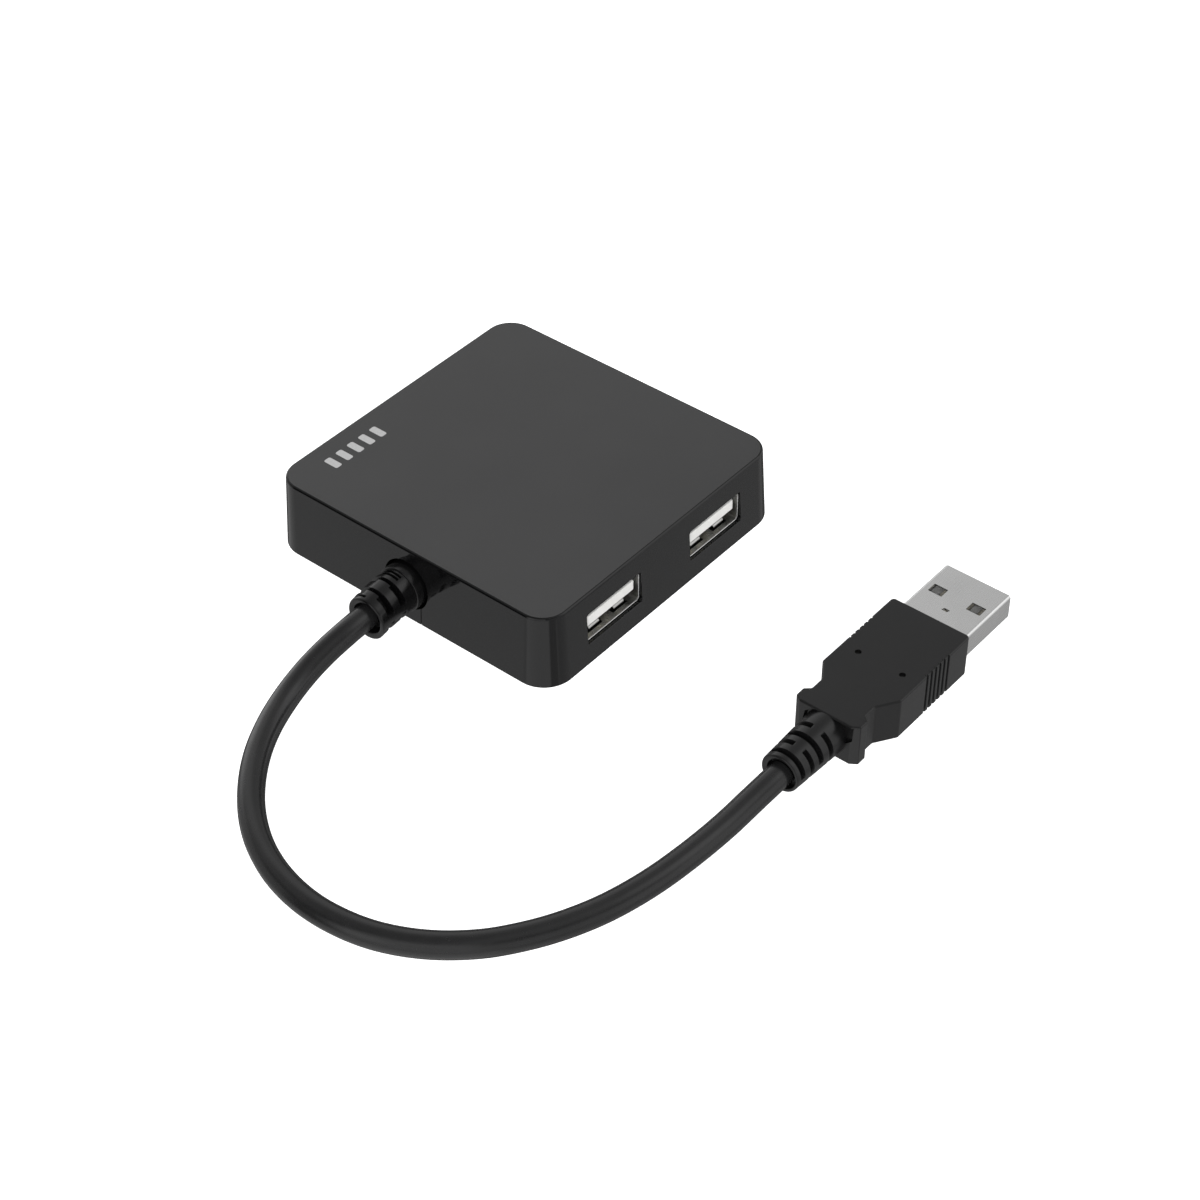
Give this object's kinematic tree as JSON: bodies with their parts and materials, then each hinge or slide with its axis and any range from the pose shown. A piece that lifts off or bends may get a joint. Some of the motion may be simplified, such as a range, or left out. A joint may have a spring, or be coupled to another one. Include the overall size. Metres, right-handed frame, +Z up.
{
  "type": "usb hub",
  "caption": "Flat square USB hub with rounded corners, receptacles on two opposite sides, and a short fixed lead with a strain-relieved USB-A plug.",
  "frame": {"origin": "centre of the case's underside, where it rests; the lead, its boot and the plug are left out of that measure", "axes": "+Z up through the top face; +X out of the side with ports 1 and 2; the lead leaves the case along -Y"},
  "size_m": [0.104, 0.114, 0.0133],
  "materials": {
    "case": "satin black top face with polished sides",
    "cover": "fine matte black",
    "moulded_black": "soft satin black moulding",
    "cord": "satin black jacket",
    "shell_steel": "nickel-plated sheet steel",
    "insulator_white": "white moulded plastic",
    "contact": "gold-plated spring strip",
    "board": "green solder resist on laminate",
    "chip": "matte black epoxy",
    "can": "satin drawn can",
    "fuse": "matte green",
    "screw": "bright steel",
    "lead_red": "satin",
    "lead_white": "satin",
    "lead_green": "satin",
    "lead_black": "satin"
  },
  "bodies": {
    "root": {"top_shell": "case", "bottom_cover": "cover", "circuit_board": "board", "hub_controller": "chip", "crystal": "can", "bulk_capacitor": "can", "resettable_fuse": "fuse", "board_screw_1": "screw", "board_screw_2": "screw", "port_1_shell": "shell_steel", "port_1_insulator": "insulator_white", "port_1_contact_1": "contact", "port_1_contact_2": "contact", "port_1_contact_3": "contact", "port_1_contact_4": "contact", "port_2_shell": "shell_steel", "port_2_insulator": "insulator_white", "port_2_contact_1": "contact", "port_2_contact_2": "contact", "port_2_contact_3": "contact", "port_2_contact_4": "contact", "port_3_shell": "shell_steel", "port_3_insulator": "insulator_white", "port_3_contact_1": "contact", "port_3_contact_2": "contact", "port_3_contact_3": "contact", "port_3_contact_4": "contact", "port_4_shell": "shell_steel", "port_4_insulator": "insulator_white", "port_4_contact_1": "contact", "port_4_contact_2": "contact", "port_4_contact_3": "contact", "port_4_contact_4": "contact", "cable_boot": "moulded_black", "cable": "cord", "lead_red": "lead_red", "lead_white": "lead_white", "lead_green": "lead_green", "lead_black": "lead_black", "plug_overmould": "moulded_black", "plug_shell": "shell_steel", "plug_insulator": "insulator_white", "plug_contact_1": "contact", "plug_contact_2": "contact", "plug_contact_3": "contact", "plug_contact_4": "contact"}
  },
  "joints": []
}
